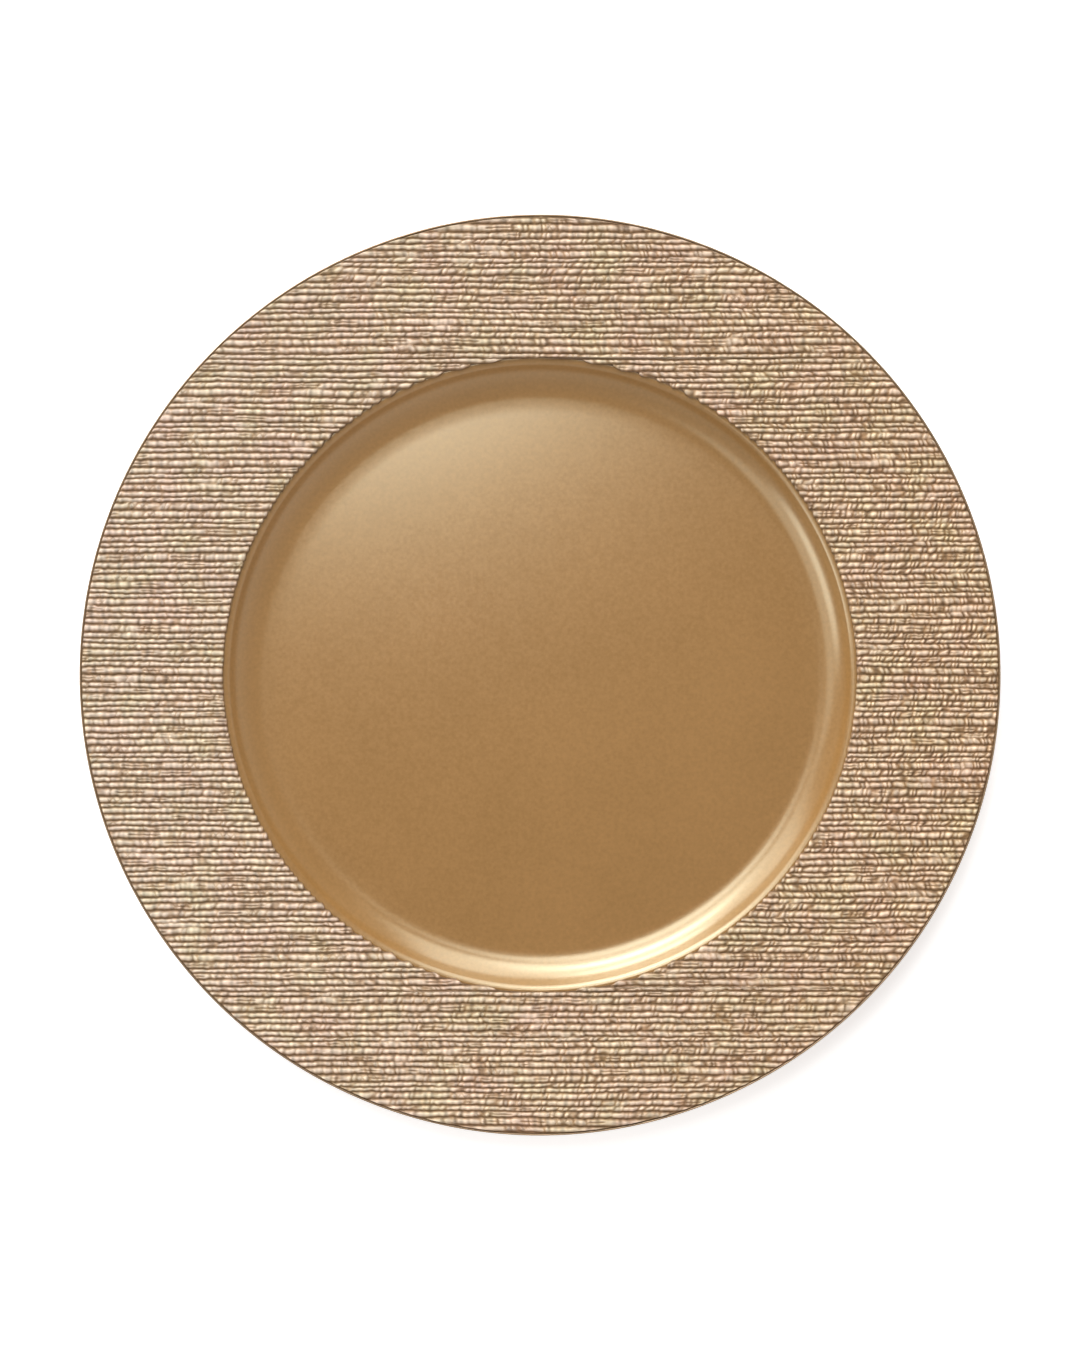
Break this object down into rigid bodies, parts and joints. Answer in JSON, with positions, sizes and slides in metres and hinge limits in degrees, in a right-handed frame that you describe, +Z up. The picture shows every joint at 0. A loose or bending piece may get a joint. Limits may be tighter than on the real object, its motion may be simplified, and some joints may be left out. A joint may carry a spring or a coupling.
{
  "type": "charger plate",
  "caption": "Round charger plate: smooth satin gold well, wide level rim with a glazed cover of straight cords, thin edge band and a moulded body with a foot ring.",
  "frame": {"origin": "centre of the circle that the foot ring stands on", "axes": "+Z up, out of the well; +X along the cords of the rim; +Y across the cords, towards the top of the picture"},
  "size_m": [0.33, 0.33, 0.0154],
  "materials": {
    "body": "moulded plastic, sprayed satin bronze brown",
    "cords": "glazed cords, cream gold on the crests and dark brown between them",
    "lining": "satin metallic gold with a fine flake",
    "band": "smooth satin metallic bronze"
  },
  "bodies": {
    "root": {"plate_body": "body", "rim_cover": "cords", "well_lining": "lining", "edge_band": "band"}
  },
  "joints": []
}
